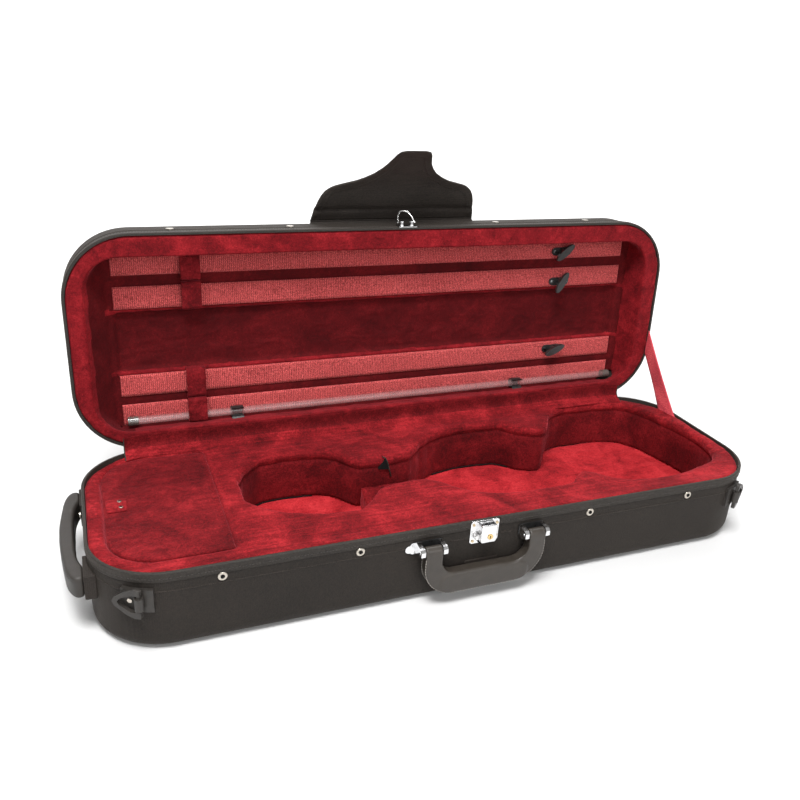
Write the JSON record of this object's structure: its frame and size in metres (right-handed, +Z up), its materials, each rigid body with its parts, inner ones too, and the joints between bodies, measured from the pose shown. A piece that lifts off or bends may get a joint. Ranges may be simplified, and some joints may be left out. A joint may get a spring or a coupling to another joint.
{
  "type": "violin case",
  "caption": "Oblong hard violin case, open, with a velvet-lined instrument well, accessory compartment, bow holders in the lid, lock, carrying handle and strap rings.",
  "frame": {"origin": "centre of the underside that the case lies on", "axes": "+X along the case's length towards the violin's lower bout, +Y towards the lid hinge, +Z up"},
  "size_m": [0.8142, 0.3428, 0.4425],
  "materials": {
    "oxford_black": "woven",
    "binding_black": "semi-matt",
    "velvet_red": "crushed velvet",
    "webbing_red": "grosgrain",
    "leather_black": "smooth",
    "chrome": "polished",
    "brass": "polished",
    "plastic_black": "moulded",
    "clear_plastic": "clear",
    "nickel": "plated"
  },
  "bodies": {
    "base": {"base_shell": "oxford_black", "base_rim_binding": "binding_black", "floor_pad": "velvet_red", "compartment_surround": "velvet_red", "well_block_front": "velvet_red", "well_block_back": "velvet_red", "neck_cradle": "velvet_red", "lock_plate": "chrome", "lock_case": "chrome", "lock_rivets": "nickel", "handle_bracket_left": "chrome", "handle_bracket_right": "chrome", "handle_pins": "chrome", "closure_patch": "oxford_black", "base_eyelets": "nickel", "side_handle_grip": "leather_black", "side_handle_tabs": "oxford_black", "side_handle_rivets": "nickel", "ring_plate_left": "plastic_black", "ring_plate_right": "plastic_black", "ring_plate_rivets": "nickel", "hinge_leaves_base": "nickel", "hinge_pins": "nickel", "stay_strap": "webbing_red"},
    "lid": {"lid_shell": "oxford_black", "lid_rim_binding": "binding_black", "lid_back_panel": "velvet_red", "lid_side_padding": "velvet_red", "bow_strap_1": "webbing_red", "bow_strap_2": "webbing_red", "bow_strap_3": "webbing_red", "bow_strap_4": "webbing_red", "bow_tip_holder_1": "velvet_red", "bow_tip_holder_2": "velvet_red", "bow_tip_holder_3": "velvet_red", "bow_tip_holder_4": "velvet_red", "string_tube": "clear_plastic", "string_tube_caps": "plastic_black", "string_tube_clips": "plastic_black", "spinner_bases": "plastic_black", "spinner_screws": "nickel", "lid_studs": "nickel", "hasp_mount": "chrome", "hinge_leaves_lid": "nickel", "flap_anchor": "oxford_black"},
    "handle": {"carry_handle": "leather_black"},
    "flap": {"closure_flap": "oxford_black"},
    "hasp": {"hasp_loop": "chrome"},
    "release": {"lock_slide": "chrome"},
    "key": {"key_plug": "brass"},
    "compartment_door": {"compartment_lid": "velvet_red", "compartment_pull_tab": "velvet_red", "compartment_tab_rivets": "nickel"},
    "spinner_1": {"bow_spinner_1": "plastic_black"},
    "spinner_2": {"bow_spinner_2": "plastic_black"},
    "spinner_3": {"bow_spinner_3": "plastic_black"},
    "ring_left": {"strap_ring_left": "plastic_black"},
    "ring_right": {"strap_ring_right": "plastic_black"}
  },
  "joints": [
    {"name": "lid_hinge", "type": "hinge", "parent": "base", "child": "lid", "pos_m": [0, 0.127, 0.09], "axis": [-1, 0, 0], "range_deg": [-93.3, 0], "deforming": ["stay_strap"]},
    {"name": "handle_swing", "type": "hinge", "parent": "base", "child": "handle", "pos_m": [0, -0.137, 0.069], "axis": [-1, 0, 0], "range_deg": [0, 95]},
    {"name": "flap_fold", "type": "hinge", "parent": "lid", "child": "flap", "pos_m": [0.005, 0.19309, 0.34151], "axis": [-1, 0, 0], "range_deg": [-30, 140]},
    {"name": "hasp_swing", "type": "hinge", "parent": "lid", "child": "hasp", "pos_m": [0.005, 0.15131, 0.34653], "axis": [-1, 0, 0], "range_deg": [-135, 0]},
    {"name": "lock_release", "type": "slide", "parent": "base", "child": "release", "axis": [1, 0, 0], "range_m": [0, 0.002], "stiffness_N_per_m": 200, "springref_m": -0.002},
    {"name": "key_turn", "type": "hinge", "parent": "base", "child": "key", "pos_m": [0.0065, -0.131, 0.072], "axis": [0, 1, 0], "range_deg": [0, 90]},
    {"name": "compartment_hinge", "type": "hinge", "parent": "base", "child": "compartment_door", "pos_m": [-0.256, 0.0065, 0.086], "axis": [0, 1, 0], "range_deg": [0, 95]},
    {"name": "spinner_1_turn", "type": "hinge", "parent": "lid", "child": "spinner_1", "pos_m": [0.2515, 0.16898, 0.29693], "axis": [0, 0.9983, -0.0576], "continuous": true},
    {"name": "spinner_2_turn", "type": "hinge", "parent": "lid", "child": "spinner_2", "pos_m": [0.2515, 0.16656, 0.255], "axis": [0, 0.9983, -0.0576], "continuous": true},
    {"name": "spinner_3_turn", "type": "hinge", "parent": "lid", "child": "spinner_3", "pos_m": [0.2515, 0.16089, 0.15666], "axis": [0, 0.9983, -0.0576], "continuous": true},
    {"name": "ring_left_swing", "type": "hinge", "parent": "base", "child": "ring_left", "pos_m": [-0.35188, -0.12661, 0.061], "axis": [0, 0, 1], "range_deg": [0, 150]},
    {"name": "ring_right_swing", "type": "hinge", "parent": "base", "child": "ring_right", "pos_m": [0.35188, -0.12661, 0.061], "axis": [0, 0, -1], "range_deg": [0, 150]}
  ]
}
